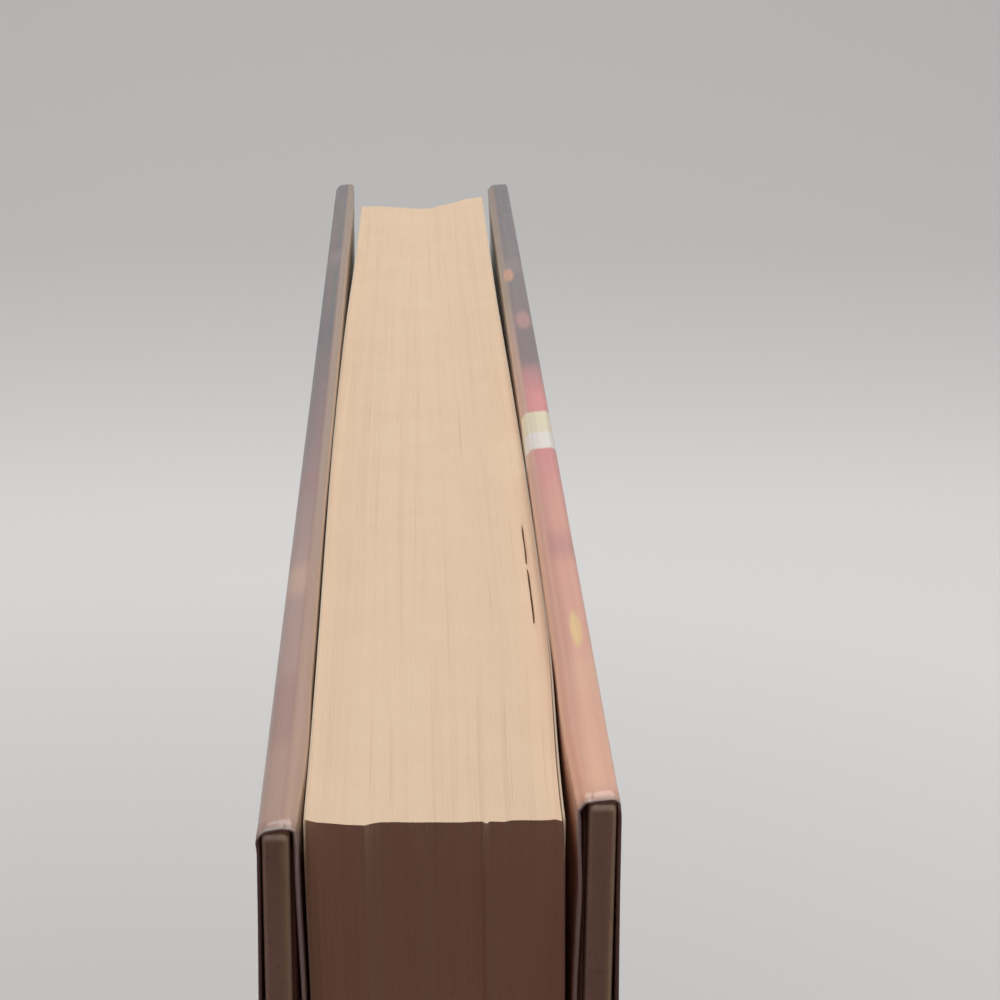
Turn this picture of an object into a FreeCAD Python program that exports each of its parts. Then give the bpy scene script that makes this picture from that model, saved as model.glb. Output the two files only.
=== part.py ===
"""A case-bound book with a flat back and a printed paper jacket, closed and standing on its spine.

Millimetres. +Z runs from the spine up to the fore edge, +Y from the tail to the head, and +X from the
front cover to the back cover. The origin is under the middle of the spine, on the surface it stands on.
"""

import FreeCAD, Part
import math
import os

V = FreeCAD.Vector

# Pages: one trimmed block, glued along the spine, which swells it a little there
page_height = 229.0
page_width = 152.0
block_at_fore_edge = 21.0
block_at_spine = 22.6
block_lean = 0.425
block_shoulder = 0.5

# Papers, cloth and boards, by thickness
endpaper = 0.15
case_paper = 0.2
jacket_paper = 0.2
lining_paper = 0.15
mull_cloth = 0.2
spine_card = 0.9
board = 1.8

# The case: how far it stands past the pages, and how it meets them
square = 3.0
tail_square_front = 0.9
joint_room = 0.425
hollow_gap = 0.1
board_setback = 6.65
spine_card_width = 23.6
turn_in = 15.0
mitre_gap = 0.3
mitre_lead = 1.0
board_corner = 0.6
board_edge = 0.25

# Cloth that ties the block to its case
mull_flange_width = 25.0
mull_margin = 14.0

# Woven bands at the two ends of the spine
band_bead_radius = 0.9
band_tab = 10.0

# The jacket: one sheet folded round both fore edges, with a flap inside each cover
jacket_clearance = 0.2
jacket_trim = 0.2
flap_width = 85.0
flap_gap = 0.05
fold_gap = 0.2
panel_bow = 1.0
bow_height = 0.55

# Sheets crossing the joints
layer_gap = 0.1
corner_flat = 0.2
case_corner = 0.5
joint_hollow = 0.2
groove_height = 0.4
jacket_groove_height = 0.3
seam = 0.02

# Fold corners of the jacket, at the outside and the inside of each board
FRONT = {"side": -1, "outer_fold": 1.2, "inner_fold": 0.5}
BACK = {"side": 1, "outer_fold": 0.6, "inner_fold": 1.2}


# Levels going up from the surface the book stands on
z_case = jacket_paper
z_card = z_case + case_paper
z_turn_in = z_card + spine_card
z_lining = z_turn_in + case_paper + hollow_gap
z_mull = z_lining + lining_paper
z_block = z_mull + mull_cloth
z_fore_edge = z_block + page_width
z_board = z_block + board_setback
z_case_top = z_fore_edge + square

# Distances outwards from the middle of the block
x_pastedown = block_at_spine / 2 + joint_room
x_turn_in = x_pastedown + endpaper
x_board = x_turn_in + case_paper
x_case = x_board + board
x_jacket = x_case + case_paper + jacket_clearance
x_flap = x_pastedown - flap_gap - jacket_paper

# Half sizes along the spine
half_page = page_height / 2
half_case = half_page + square
half_jacket = half_case - jacket_trim
half_card_width = spine_card_width / 2
half_window = half_case - turn_in
half_mull = half_page - mull_margin

# The front case was glued a little askew, so its fore edge drops towards the tail
drop = (square - tail_square_front) / 2
skew = math.degrees(math.asin(2 * drop / (2 * half_case)))
FRONT["drop"] = drop
FRONT["skew"] = skew
BACK["drop"] = 0.0
BACK["skew"] = 0.0


def box(x0, x1, y0, y1, z0, z1):
    """A block between two corners."""
    return Part.makeBox(x1 - x0, y1 - y0, z1 - z0, V(x0, y0, z0))


def line(a, b):
    """A straight edge in the section plane, between two (x, z) points."""
    return Part.LineSegment(V(a[0], 0, a[1]), V(b[0], 0, b[1])).toShape()


def quarter(a, b, centre):
    """A quarter arc in the section plane from a to b about a centre, all (x, z) points."""
    radius = math.hypot(a[0] - centre[0], a[1] - centre[1])
    mid = V(a[0] + b[0] - 2 * centre[0], 0, a[1] + b[1] - 2 * centre[1]).normalize() * radius
    middle = V(centre[0], 0, centre[1]) + mid
    return Part.Arc(V(a[0], 0, a[1]), middle, V(b[0], 0, b[1])).toShape()


def ess(start, end):
    """Two equal arcs that leave one (x, z) point and reach another going straight up."""
    sway = (end[0] - start[0]) / 2
    rise = (end[1] - start[1]) / 2
    radius = (rise**2 + sway**2) / (2 * abs(sway))
    half_turn = math.asin(rise / radius) / 2
    side = math.copysign(radius * (1 - math.cos(half_turn)), sway)
    lift = radius * math.sin(half_turn)
    points = [
        start,
        (start[0] + side, start[1] + lift),
        (start[0] + sway, start[1] + rise),
        (end[0] - side, end[1] - lift),
        end,
    ]
    a, b, c, d, e = [V(x, 0, z) for x, z in points]
    return [Part.Arc(a, b, c).toShape(), Part.Arc(c, d, e).toShape()]


def sheet(edges, thickness, half_length):
    """A sheet of even thickness on both sides of a line in the section plane, run along the spine."""
    wire = Part.Wire(edges)
    inner = wire.makeOffset2D(-thickness / 2, join=0, fill=False, openResult=True)
    face = inner.makeOffset2D(thickness, join=0, fill=True, openResult=True)
    solid = face.extrude(V(0, 2 * half_length, 0))
    solid.translate(V(0, -half_length, 0))
    return solid


def along(direction, shape):
    """The edges of a shape that run along one axis."""
    found = []
    for edge in shape.Edges:
        step = edge.Vertexes[-1].Point - edge.Vertexes[0].Point
        if step.Length > 0 and abs(abs(step.normalize().dot(direction)) - 1) < 1e-6:
            found.append(edge)
    return found


def to_side(shape, cover):
    """Moves what was drawn on the back cover's side to the side of the given cover."""
    return shape.mirror(V(0, 0, 0), V(1, 0, 0)) if cover["side"] < 0 else shape


def on_cover(shape, cover):
    """Puts a piece of a cover in its place, with the skew and drop of that cover."""
    placed = to_side(shape, cover)
    middle = V(0, 0, (z_board + z_case_top) / 2)
    placed = placed.copy()
    placed.rotate(middle, V(1, 0, 0), cover["skew"])
    placed.translate(V(0, 0, -cover["drop"]))
    return placed


def below_cover(shape, cover):
    """Cuts a joint strip along the spine edge of its cover, with a fine seam."""
    above = box(0, 2 * x_jacket, -2 * half_case, 2 * half_case, z_board - seam, z_case_top)
    return to_side(shape, cover).cut(on_cover(above, cover))


# The pages and the two loose leaves of the endpapers, which lie on the block's sides
def block_side(side, z):
    """Where the outside of the block lies at a height, on the front (-1) or the back (1)."""
    share = (z - z_block) / page_width
    half = block_at_spine / 2 + share * (block_at_fore_edge - block_at_spine) / 2
    return side * half - share * block_lean


def block_profile(inset_front, inset_back, shoulder):
    """The closed section of the block, set in from its sides."""
    low_left = block_side(-1, z_block) + inset_front
    low_right = block_side(1, z_block) - inset_back
    top_left = block_side(-1, z_fore_edge) + inset_front
    top_right = block_side(1, z_fore_edge) - inset_back
    corners = [(low_left, z_block), (low_right, z_block), (top_right, z_fore_edge), (top_left, z_fore_edge)]
    points = [V(x, -half_page, z) for x, z in corners]
    solid = Part.Face(Part.makePolygon(points + points[:1])).extrude(V(0, page_height, 0))
    if shoulder:
        low = [e for e in along(V(0, 1, 0), solid) if e.CenterOfMass.z < z_block + shoulder]
        solid = solid.makeFillet(shoulder, low)
    return solid


def flyleaf(side):
    """The loose half of an endpaper, lying on the side of the block."""
    whole = block_profile(0, 0, 0)
    without = block_profile(endpaper if side < 0 else 0, endpaper if side > 0 else 0, 0)
    return whole.cut(without)


def text_block():
    """All the pages as one trimmed block, its spine corners eased where the leaves were nipped."""
    return block_profile(endpaper, endpaper, block_shoulder)


# The spine of the block and the spine of the case, which only meet through the hollow between them
def spine_mull():
    """Open cloth glued over the back of the block, stopping short of the head and the tail."""
    half = block_at_spine / 2
    return box(-half, half, -half_mull, half_mull, z_mull, z_block)


def spine_lining():
    """Kraft paper over the cloth, the full height of the pages."""
    half = block_at_spine / 2
    return box(-half, half, -half_page, half_page, z_lining, z_mull)


def end_band(end):
    """A beaded band at the head (1) or the tail (-1), on a tab that is glued under the block."""
    half = block_at_spine / 2 - endpaper
    centre = half_page + band_bead_radius
    tab = box(-half, half, half_page - band_tab, centre, z_mull, z_block)
    bead = Part.makeCylinder(
        band_bead_radius, 2 * half, V(-half, centre, z_block + band_bead_radius - mull_cloth), V(1, 0, 0)
    )
    band = tab.fuse(bead).removeSplitter()
    return band if end > 0 else band.mirror(V(0, 0, 0), V(0, 1, 0))


def case_spine():
    """The covering over the spine card, folded round its two ends and turned in."""
    outer = box(-half_card_width, half_card_width, -half_case, half_case, z_case, z_turn_in + case_paper)
    ends = half_case - case_paper
    card = box(-half_card_width, half_card_width, -ends, ends, z_card, z_turn_in)
    window = box(-half_card_width, half_card_width, -half_window, half_window, z_card, z_lining)
    rims = [e for e in along(V(1, 0, 0), outer)]
    return outer.makeFillet(case_paper, rims).cut(card.fuse(window))


def spine_stiffener():
    """The strip of card that keeps the spine of the case flat."""
    ends = half_case - case_paper
    return box(-half_card_width, half_card_width, -ends, ends, z_card, z_turn_in)


def jacket_spine():
    """The part of the jacket under the spine, which the book stands on."""
    return box(-half_card_width, half_card_width, -half_jacket, half_jacket, 0, jacket_paper)


# One cover, from the board outwards, drawn on the back cover's side
def cover_board():
    """The board, with its corners and long edges eased by handling."""
    ends = half_case - case_paper
    solid = box(x_board, x_case, -ends, ends, z_board, z_case_top - case_paper)
    corners = [e for e in along(V(1, 0, 0), solid) if e.CenterOfMass.z > z_board]
    solid = solid.makeFillet(board_corner, corners)
    rims = [e for e in solid.Edges if e.BoundBox.XLength < seam and e.BoundBox.ZMax > z_board + seam]
    return solid.makeFillet(board_edge, rims)


def case_cover():
    """The covering glued on the board, turned in over three edges and mitred at the two corners."""
    x_out = x_case + case_paper
    solid = box(x_turn_in, x_out, -half_case, half_case, z_board, z_case_top)
    corners = [e for e in along(V(1, 0, 0), solid) if e.CenterOfMass.z > z_board]
    solid = solid.makeFillet(board_corner + case_paper, corners)
    rims = [e for e in solid.Edges if e.BoundBox.XLength < seam and e.BoundBox.ZMax > z_board + seam]
    solid = solid.makeFillet(board_edge + case_paper, rims)
    window = box(x_turn_in - seam, x_board, -half_window, half_window, z_board - seam, z_case_top - turn_in)
    solid = solid.cut(cover_board()).cut(window)
    for end in (-1, 1):
        solid = solid.cut(mitre(end))
    return solid


def mitre(end):
    """The slit where two turn-ins meet at 45 degrees, at the head (1) or the tail (-1)."""
    inner = V(x_turn_in - seam, end * half_window, z_case_top - turn_in)
    reach = (turn_in - 2 * board_corner) * math.sqrt(2)
    start = V(inner.x, inner.y - mitre_gap / 2, inner.z - mitre_lead)
    slit = Part.makeBox(case_paper + seam, mitre_gap, mitre_lead + reach, start)
    slit.rotate(inner, V(1, 0, 0), -45 * end)
    return slit


def mull_flange():
    """The free edge of the cloth, glued on the inside of the board."""
    return box(x_turn_in, x_board, -half_mull, half_mull, z_board, z_board + mull_flange_width)


def pastedown():
    """The glued half of an endpaper, which steps down from the turn-ins and the cloth to the board."""
    low = z_board + mull_flange_width
    high = z_case_top - turn_in
    raised = box(x_pastedown, x_turn_in, -half_page, half_page, z_board, z_fore_edge)
    sunk = box(x_pastedown, x_board, -half_window, half_window, low, high)
    inside = half_window - endpaper
    hollow = box(x_pastedown, x_board - endpaper, -inside, inside, low + endpaper, high - endpaper)
    return raised.fuse(sunk).cut(hollow).removeSplitter()


def jacket_panel(cover):
    """The jacket over one cover: bowed outer panel, fold over the fore edge, and the flap inside."""
    half = jacket_paper / 2
    x_out = x_jacket + half
    x_in = x_flap + half
    top = z_case_top + fold_gap + half
    outer_fold = cover["outer_fold"]
    inner_fold = cover["inner_fold"]
    panel_top = top - outer_fold
    fullest = (x_out + panel_bow, z_board + bow_height * (panel_top - z_board))
    edges = ess((x_out, z_board), fullest) + ess(fullest, (x_out, panel_top)) + [
        quarter((x_out, panel_top), (x_out - outer_fold, top), (x_out - outer_fold, panel_top)),
        line((x_out - outer_fold, top), (x_in + inner_fold, top)),
        quarter((x_in + inner_fold, top), (x_in, top - inner_fold), (x_in + inner_fold, top - inner_fold)),
        line((x_in, top - inner_fold), (x_in, top - flap_width)),
    ]
    return sheet(edges, jacket_paper, half_jacket)


# The strips that bend in the joint between the spine and a cover
def joint_strip(corner, groove, level, thickness, half_length, cover):
    """A sheet that turns up round the spine, dips in the joint and rises to a level on the board."""
    x_corner, z_corner, radius = corner
    meet = z_board - 2 * cover["drop"]
    foot = (x_corner - radius, z_corner)
    turned = (x_corner, z_corner + radius)
    dip = (x_corner - joint_hollow, turned[1] + groove * (meet - turned[1]))
    edges = [line((half_card_width, z_corner), foot), quarter(foot, turned, (foot[0], turned[1]))]
    edges += ess(turned, dip) + ess(dip, (level, meet))
    edges.append(line((level, meet), (level, z_board + 2 * drop)))
    return below_cover(sheet(edges, thickness, half_length), cover)


def case_joint(cover):
    """The covering in the joint, pressed in towards the shoulder of the block."""
    x_corner = half_card_width + corner_flat + case_corner
    corner = (x_corner, z_case + case_paper / 2, case_corner)
    return joint_strip(corner, groove_height, x_case + case_paper / 2, case_paper, half_case, cover)


def jacket_joint(cover):
    """The jacket over the joint, loose, so it bridges the hollow."""
    gap = case_paper / 2 + layer_gap + jacket_paper / 2
    x_corner = half_card_width + corner_flat + case_corner + gap
    corner = (x_corner, jacket_paper / 2, case_corner + gap)
    level = x_jacket + jacket_paper / 2
    return joint_strip(corner, jacket_groove_height, level, jacket_paper, half_jacket, cover)


def inner_strip(x_low, z_low, x_high, thickness, half_length, cover):
    """A glued sheet that climbs the shoulder of the block to the inside of the board."""
    meet = z_board - 2 * cover["drop"]
    edges = ess((x_low, z_low), (x_high, meet))
    edges.append(line((x_high, meet), (x_high, z_board + 2 * drop)))
    return below_cover(sheet(edges, thickness, half_length), cover)


def mull_joint(cover):
    """The cloth in the joint, from the shoulder of the block to its flange on the board."""
    x_low = block_at_spine / 2 + 2 * layer_gap + endpaper + mull_cloth / 2
    return inner_strip(x_low, z_mull, x_turn_in + mull_cloth / 2, mull_cloth, half_mull, cover)


def endpaper_joint(cover):
    """The endpaper in the joint, from the foot of the flyleaf to the pastedown."""
    x_low = block_at_spine / 2 + layer_gap + endpaper / 2
    return inner_strip(x_low, z_block, x_pastedown + endpaper / 2, endpaper, half_page, cover)


pieces = {
    "text_block": text_block(),
    "front_flyleaf": flyleaf(-1),
    "back_flyleaf": flyleaf(1),
    "spine_mull": spine_mull(),
    "spine_lining": spine_lining(),
    "headband": end_band(1),
    "tailband": end_band(-1),
    "spine_stiffener": spine_stiffener(),
    "case_spine": case_spine(),
    "jacket_spine": jacket_spine(),
}
for name, cover in (("front", FRONT), ("back", BACK)):
    pieces[f"{name}_board"] = on_cover(cover_board(), cover)
    pieces[f"{name}_case_cover"] = on_cover(case_cover(), cover)
    pieces[f"{name}_mull_flange"] = on_cover(mull_flange(), cover)
    pieces[f"{name}_pastedown"] = on_cover(pastedown(), cover)
    pieces[f"jacket_{name}"] = on_cover(jacket_panel(cover), cover)
    pieces[f"{name}_case_joint"] = case_joint(cover)
    pieces[f"{name}_jacket_joint"] = jacket_joint(cover)
    pieces[f"{name}_mull_joint"] = mull_joint(cover)
    pieces[f"{name}_endpaper_joint"] = endpaper_joint(cover)

os.makedirs("parts", exist_ok=True)
for name, shape in pieces.items():
    shape.exportStep(f"parts/{name}.step")
    extent = shape.BoundBox
    print(name, len(shape.Solids), shape.isValid(), round(shape.Volume, 2), extent)
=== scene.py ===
import math
import random

import bmesh
import bpy
from mathutils import Matrix, Vector, noise
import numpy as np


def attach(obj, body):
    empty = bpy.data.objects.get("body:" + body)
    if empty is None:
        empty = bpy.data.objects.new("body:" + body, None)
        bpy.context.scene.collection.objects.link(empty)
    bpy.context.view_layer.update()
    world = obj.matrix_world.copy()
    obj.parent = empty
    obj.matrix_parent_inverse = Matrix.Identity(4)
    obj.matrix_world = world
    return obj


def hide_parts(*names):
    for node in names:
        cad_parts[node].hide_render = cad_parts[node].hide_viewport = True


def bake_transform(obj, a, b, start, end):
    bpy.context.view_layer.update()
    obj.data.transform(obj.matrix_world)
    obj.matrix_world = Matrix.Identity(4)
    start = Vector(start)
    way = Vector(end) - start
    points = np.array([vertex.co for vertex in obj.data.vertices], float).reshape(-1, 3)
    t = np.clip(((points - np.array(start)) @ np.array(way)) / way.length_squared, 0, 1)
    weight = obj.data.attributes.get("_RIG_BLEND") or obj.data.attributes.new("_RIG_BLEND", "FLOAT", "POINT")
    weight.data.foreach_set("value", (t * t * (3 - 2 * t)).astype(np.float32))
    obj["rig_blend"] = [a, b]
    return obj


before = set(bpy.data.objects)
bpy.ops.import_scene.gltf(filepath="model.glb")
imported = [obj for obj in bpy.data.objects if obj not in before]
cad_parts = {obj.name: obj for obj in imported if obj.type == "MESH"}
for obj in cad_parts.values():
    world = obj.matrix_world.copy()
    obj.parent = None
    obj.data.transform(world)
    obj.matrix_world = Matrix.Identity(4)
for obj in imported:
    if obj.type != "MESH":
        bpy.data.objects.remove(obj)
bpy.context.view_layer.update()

scene = bpy.context.scene


# The view: a hand-held camera just past the tail of the book, a little above its fore edge, which
# looks along the book towards the head and about 19 degrees down.
lens = bpy.data.cameras.new("camera")
lens.lens = 88.55
lens.sensor_width = 36.0
lens.clip_start = 0.01
camera = bpy.data.objects.new("camera", lens)
scene.collection.objects.link(camera)
aim = Matrix.Rotation(math.radians(-2.248), 4, "Z")
aim = aim @ Matrix.Rotation(math.radians(90 - 19.194), 4, "X")
aim = aim @ Matrix.Rotation(math.radians(0.637), 4, "Z")
camera.matrix_world = Matrix.Translation((-0.002391, -0.29305, 0.243567)) @ aim
scene.camera = camera
scene.view_settings.view_transform = "Standard"


# The pages: about 190 leaves of cream book paper, sewn in sections, glued along the spine and trimmed
# together on the other three sides. Handling has spread them, and a leaf gapes near the back cover.
page_height = 0.229
page_width = 0.152
block_foot = 0.00195
fore_edge = block_foot + page_width
half_at_spine = 0.0113
half_at_fore_edge = 0.0105
lean = 0.000425
endpaper = 0.00015
leaves = 190
gaping_leaf = 180
cream = (0.80, 0.615, 0.445)


def ease(value, low, high):
    """0 below low, 1 above high and a smooth rise between them."""
    share = min(max((value - low) / (high - low), 0.0), 1.0)
    return share * share * (3 - 2 * share)


def swell(value, middle, reach):
    """1 at the middle, falling smoothly to 0 at the reach on both sides."""
    return ease(reach - abs(value - middle), 0.0, reach)


def block_side(side, height):
    """Where the side of the trimmed block lies at a height, on the front (-1) or the back (1)."""
    share = (height - block_foot) / page_width
    half = half_at_spine + share * (half_at_fore_edge - half_at_spine)
    return side * half - share * lean


def spread(across, along, height):
    """How far handling has moved a leaf sideways and upwards, across running from -1 to 1."""
    free = ease(height, 0.05, 0.15)
    to_back = ease(across, -0.2, 1.0)
    to_front = ease(-across, -0.4, 1.0)
    at_tail = ease(-along, 0.02, 0.11)
    at_head = ease(along, 0.045, 0.1145)
    fanned = ease(along, -0.1145, -0.0695) * (1 - ease(along, -0.045, 0.115))
    sideways = 0.00095 * free * to_back * fanned
    sideways -= 0.00045 * free * to_front * swell(along, -0.012, 0.095)
    sideways += 0.00062 * free * to_front * ease(along, 0.03, 0.1145)
    sideways += (0.00032 - 0.00016 * across) * at_tail * swell(height, 0.132, 0.022)
    upwards = 0.0016 * free * at_head * ease(across, 0.05, 1.05)
    upwards -= 0.0004 * free * at_head * swell(across, -0.05, 0.75)
    return sideways, upwards


def ripple(where, size, depth):
    """An even, slow waviness, the same each time."""
    return depth * noise.noise(where / size)


def new_piece(bm, name, materials):
    """Turns a finished mesh into an object whose place is in its mesh."""
    mesh = bpy.data.meshes.new(name)
    bm.to_mesh(mesh)
    bm.free()
    for material in materials:
        mesh.materials.append(material)
    piece = bpy.data.objects.new(name, mesh)
    scene.collection.objects.link(piece)
    return piece


def new_material(name):
    """An empty material with its shader, ready for its nodes."""
    material = bpy.data.materials.new(name)
    material.use_nodes = True
    tree = material.node_tree
    shader = tree.nodes["Principled BSDF"]
    return material, tree, shader


def put(tree, kind, feeds=None, **settings):
    """Places one node. Feeds are values for its inputs, or the sockets that they come from."""
    node = tree.nodes.new(kind)
    for name, value in settings.items():
        setattr(node, name, value)
    for name, value in (feeds or {}).items():
        if isinstance(value, bpy.types.NodeSocket):
            tree.links.new(value, node.inputs[name])
        else:
            node.inputs[name].default_value = value
    return node


def stretch(tree, vector, scale):
    """The coordinates of a pattern, in metres, scaled to its own size."""
    return put(tree, "ShaderNodeMapping", {"Vector": vector, "Scale": scale}).outputs["Vector"]


def mottle(tree, vector, scale, detail=3.0, rough=0.5):
    """Soft irregular noise over given coordinates."""
    feeds = {"Vector": vector, "Scale": scale, "Detail": detail, "Roughness": rough}
    return put(tree, "ShaderNodeTexNoise", feeds).outputs["Fac"]


def between(tree, value, low, high, start=0.0, end=1.0):
    """A value's rise from low to high, as a mask from start to end."""
    feeds = {"Value": value, "From Min": low, "From Max": high, "To Min": start, "To Max": end}
    return put(tree, "ShaderNodeMapRange", feeds).outputs["Result"]


def blend_colour(tree, mask, first, second):
    """First colour where the mask is 0, second where it is 1."""
    node = put(tree, "ShaderNodeMix", data_type="RGBA")
    for socket, value in ((node.inputs[0], mask), (node.inputs[6], first), (node.inputs[7], second)):
        if isinstance(value, bpy.types.NodeSocket):
            tree.links.new(value, socket)
        elif isinstance(value, tuple):
            socket.default_value = (*value, 1.0)
        else:
            socket.default_value = value
    return node.outputs[2]


def sums(tree, operation, first, second):
    """One step of arithmetic on two masks or values."""
    return put(tree, "ShaderNodeMath", {0: first, 1: second}, operation=operation).outputs[0]


def rough_up(tree, shader, height, depth, strength=1.0):
    """Gives a surface its relief, with the depth in metres."""
    bump = put(tree, "ShaderNodeBump", {"Height": height, "Distance": depth, "Strength": strength})
    tree.links.new(bump.outputs["Normal"], shader.inputs["Normal"])


def socket(group, name, way, kind):
    """Adds a named input or output to a node group."""
    return group.interface.new_socket(name, in_out=way, socket_type="NodeSocket" + kind)


# Paper fibre, for every paper and board: cloudy colour, fine fibres and a felt surface
paper_fibre = bpy.data.node_groups.new("paper fibre", "ShaderNodeTree")
socket(paper_fibre, "Vector", "INPUT", "Vector")
socket(paper_fibre, "Paper", "INPUT", "Color")
socket(paper_fibre, "Shade", "INPUT", "Color")
socket(paper_fibre, "Cloudiness", "INPUT", "Float")
socket(paper_fibre, "Colour", "OUTPUT", "Color")
socket(paper_fibre, "Height", "OUTPUT", "Float")
ins = put(paper_fibre, "NodeGroupInput").outputs
clouds = mottle(paper_fibre, ins["Vector"], 130.0, 4.0, 0.55)
felt = mottle(paper_fibre, stretch(paper_fibre, ins["Vector"], (1.0, 0.55, 0.8)), 3600.0, 2.0, 0.6)
specks = between(paper_fibre, mottle(paper_fibre, ins["Vector"], 1500.0, 1.0), 0.66, 0.74)
uneven = sums(paper_fibre, "ADD", between(paper_fibre, clouds, 0.35, 0.7), specks)
uneven = sums(paper_fibre, "ADD", uneven, between(paper_fibre, felt, 0.35, 0.75, 0.0, 0.5))
uneven = sums(paper_fibre, "MULTIPLY", uneven, ins["Cloudiness"])
outs = put(paper_fibre, "NodeGroupOutput")
toned = blend_colour(paper_fibre, uneven, ins["Paper"], ins["Shade"])
paper_fibre.links.new(toned, outs.inputs["Colour"])
paper_fibre.links.new(felt, outs.inputs["Height"])


def fibre(tree, vector, paper, shade, cloudiness):
    """Paper fibre in a material's own colours, as its colour and its height."""
    node = put(tree, "ShaderNodeGroup", node_tree=paper_fibre)
    tree.links.new(vector, node.inputs["Vector"])
    node.inputs["Paper"].default_value = (*paper, 1.0)
    node.inputs["Shade"].default_value = (*shade, 1.0)
    node.inputs["Cloudiness"].default_value = cloudiness
    return node.outputs["Colour"], node.outputs["Height"]


cut_pages, tree, shader = new_material("cut_pages")
leaf_map = put(tree, "ShaderNodeUVMap", uv_map="leaves").outputs["UV"]
edge_colour, edge_felt = fibre(tree, leaf_map, cream, (0.70, 0.50, 0.34), 0.22)
# The darker lines along the cut edges are partly the leaves' own tone and partly painted shade in the gaps
# between the leaves and between the sections.
fine_lines = mottle(tree, stretch(tree, leaf_map, (5200.0, 16.0, 1.0)), 1.0, 2.0, 0.6)
section_lines = mottle(tree, stretch(tree, leaf_map, (900.0, 5.0, 1.0)), 1.0, 2.0, 0.55)
gap_shade = mottle(tree, stretch(tree, leaf_map, (3300.0, 22.0, 1.0)), 1.0, 1.0, 0.5)
by_section = between(tree, section_lines, 0.3, 0.7)
lined = sums(tree, "MULTIPLY", between(tree, fine_lines, 0.52, 0.72), by_section)
lined = sums(tree, "ADD", lined, between(tree, section_lines, 0.5, 0.85, 0.0, 0.4))
lined = sums(tree, "ADD", lined, between(tree, gap_shade, 0.68, 0.76, 0.0, 0.8))
page_colour = blend_colour(tree, sums(tree, "MULTIPLY", lined, 0.42), edge_colour, (0.60, 0.40, 0.26))
tree.links.new(page_colour, shader.inputs["Base Color"])
shader.inputs["Roughness"].default_value = 0.86
shader.inputs["Specular IOR Level"].default_value = 0.25
rough_up(tree, shader, sums(tree, "ADD", fine_lines, edge_felt), 0.00004, 0.5)

random.seed(11)
leaf_steps = [random.uniform(-1.0, 1.0) for _ in range(leaves + 1)]
tail_wear = [(-0.0108, -0.0004), (-0.0099, 0.0), (-0.0086, 0.00018), (-0.0073, 0.0004), (-0.0060, 0.0005)]
tail_wear += [(-0.0055, 0.0002), (-0.0048, -0.00005), (-0.0035, -0.0001), (-0.0017, 0.0001), (0.0, 0.0)]
tail_wear += [(0.0035, 0.0), (0.0038, 0.0004), (0.0041, 0.0), (0.0053, 0.0001), (0.0058, -0.0001)]
tail_wear += [(0.0088, -0.0001), (0.0094, -0.0002), (0.0099, 0.0001)]


def at_tail_cut(x):
    """How far the leaves at x stand out at the tail, where the cut was knocked uneven."""
    for (x0, out0), (x1, out1) in zip(tail_wear, tail_wear[1:]):
        if x <= x1:
            return out0 + (out1 - out0) * min(max((x - x0) / (x1 - x0), 0.0), 1.0)
    return tail_wear[-1][1]


bm = bmesh.new()
bmesh.ops.create_cube(bm, size=1.0)
for axis, cuts in ((0, leaves - 1), (1, 139), (2, 35)):
    rungs = [e for e in bm.edges if abs((e.verts[1].co - e.verts[0].co)[axis]) > 0.5]
    bmesh.ops.subdivide_edges(bm, edges=rungs, cuts=cuts, use_grid_fill=True)
leaf_layer = bm.loops.layers.uv.new("leaves")
for face in bm.faces:
    for loop in face.loops:
        share, along, up = loop.vert.co
        loop[leaf_layer].uv = (share * 2 * half_at_fore_edge, along * page_height + up * page_width)
for vert in bm.verts:
    share, along, up = vert.co
    leaf = round((share + 0.5) * leaves)
    y = along * page_height
    z = block_foot + (up + 0.5) * page_width
    left = block_side(-1, z) + endpaper
    right = block_side(1, z) - endpaper
    x = left + (share + 0.5) * (right - left)
    step = 0.000012 * leaf_steps[leaf] + ripple(Vector((x * 1000, y * 4, z * 4)), 1.3, 0.00007)
    sideways, upwards = spread(share * 2, y, z)
    x_trim = x
    x += sideways
    if up > 0.499:
        z += step + upwards + ripple(Vector((x * 300, y * 30, 0.0)), 1.0, 0.0001)
        torn = ease(-y, 0.0425, 0.051) * (1 - ease(-y, 0.0548, 0.0558))
        torn += 0.55 * ease(-y, 0.0572, 0.0585) * (1 - ease(-y, 0.062, 0.0755))
        if leaf == gaping_leaf:
            z -= 0.004 * ease(torn, 0.05, 0.45)
        elif abs(leaf - gaping_leaf) == 1:
            ragged = 0.6 + 0.8 * noise.noise(Vector((y * 420, leaf * 3.7, 0.0)))
            x -= 0.00005 * torn * ragged * (leaf - gaping_leaf)
            z += 0.00012 * torn
    else:
        z += upwards
        x += 0.00005 * max(leaf - leaves + 4, 0) * ease(-y, 0.085, 0.1145) * ease(z, 0.11, 0.14)
    if along < -0.499:
        near_top = ease(z, fore_edge - 0.05, fore_edge)
        y -= 1.5 * step + at_tail_cut(x_trim) * near_top
        y -= ripple(Vector((x * 350, z * 25, 4.0)), 1.0, 0.00015)
    elif along > 0.499:
        y += 1.5 * step + ripple(Vector((x * 350, z * 25, 9.0)), 1.0, 0.0003)
    if up < -0.499:
        z += 0.0004 * ease(abs(share), 0.47, 0.5)
    vert.co = (x, y, z)
pages = new_piece(bm, "page_block", [cut_pages])
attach(pages, "block")
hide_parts("text_block")


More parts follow.
